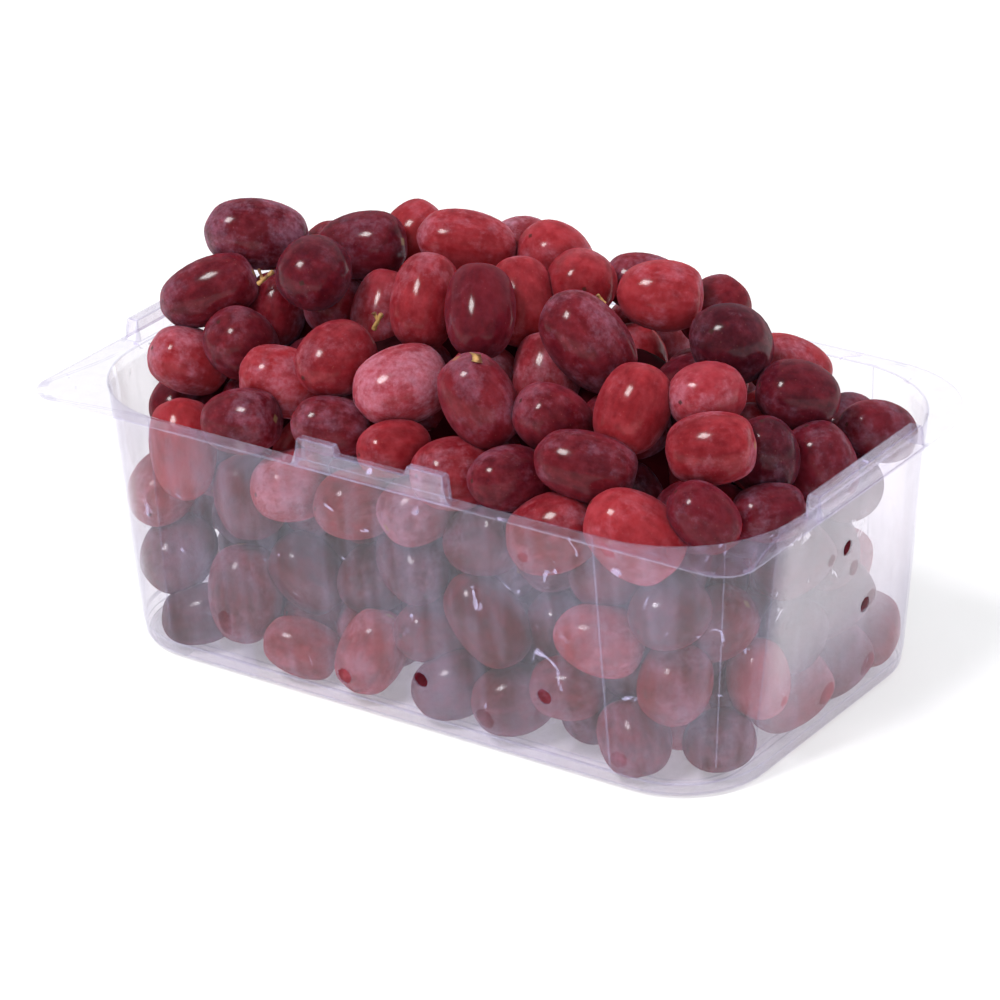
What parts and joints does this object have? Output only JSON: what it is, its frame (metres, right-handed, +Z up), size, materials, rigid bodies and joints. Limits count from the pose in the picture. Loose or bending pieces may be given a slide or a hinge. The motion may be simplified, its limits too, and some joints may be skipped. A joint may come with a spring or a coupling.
{
  "type": "punnet of grapes",
  "caption": "Open clear plastic fruit punnet with a flat flanged rim, heaped above the rim with loose red grapes.",
  "frame": {"origin": "middle of the punnet's footprint, on the surface it stands on", "axes": "+X along the punnet, +Y towards its back, +Z up"},
  "size_m": [0.191, 0.117, 0.1013],
  "materials": {
    "clear_sheet": "clear thermoformed sheet with a faint lilac-grey haze, glossy on both sides",
    "grape_skin": "thin glossy fruit skin, bright red to dark burgundy, with patches of pale dusty bloom"
  },
  "bodies": {
    "root": {"punnet": "clear_sheet", "grape_heap": "grape_skin"}
  },
  "joints": []
}
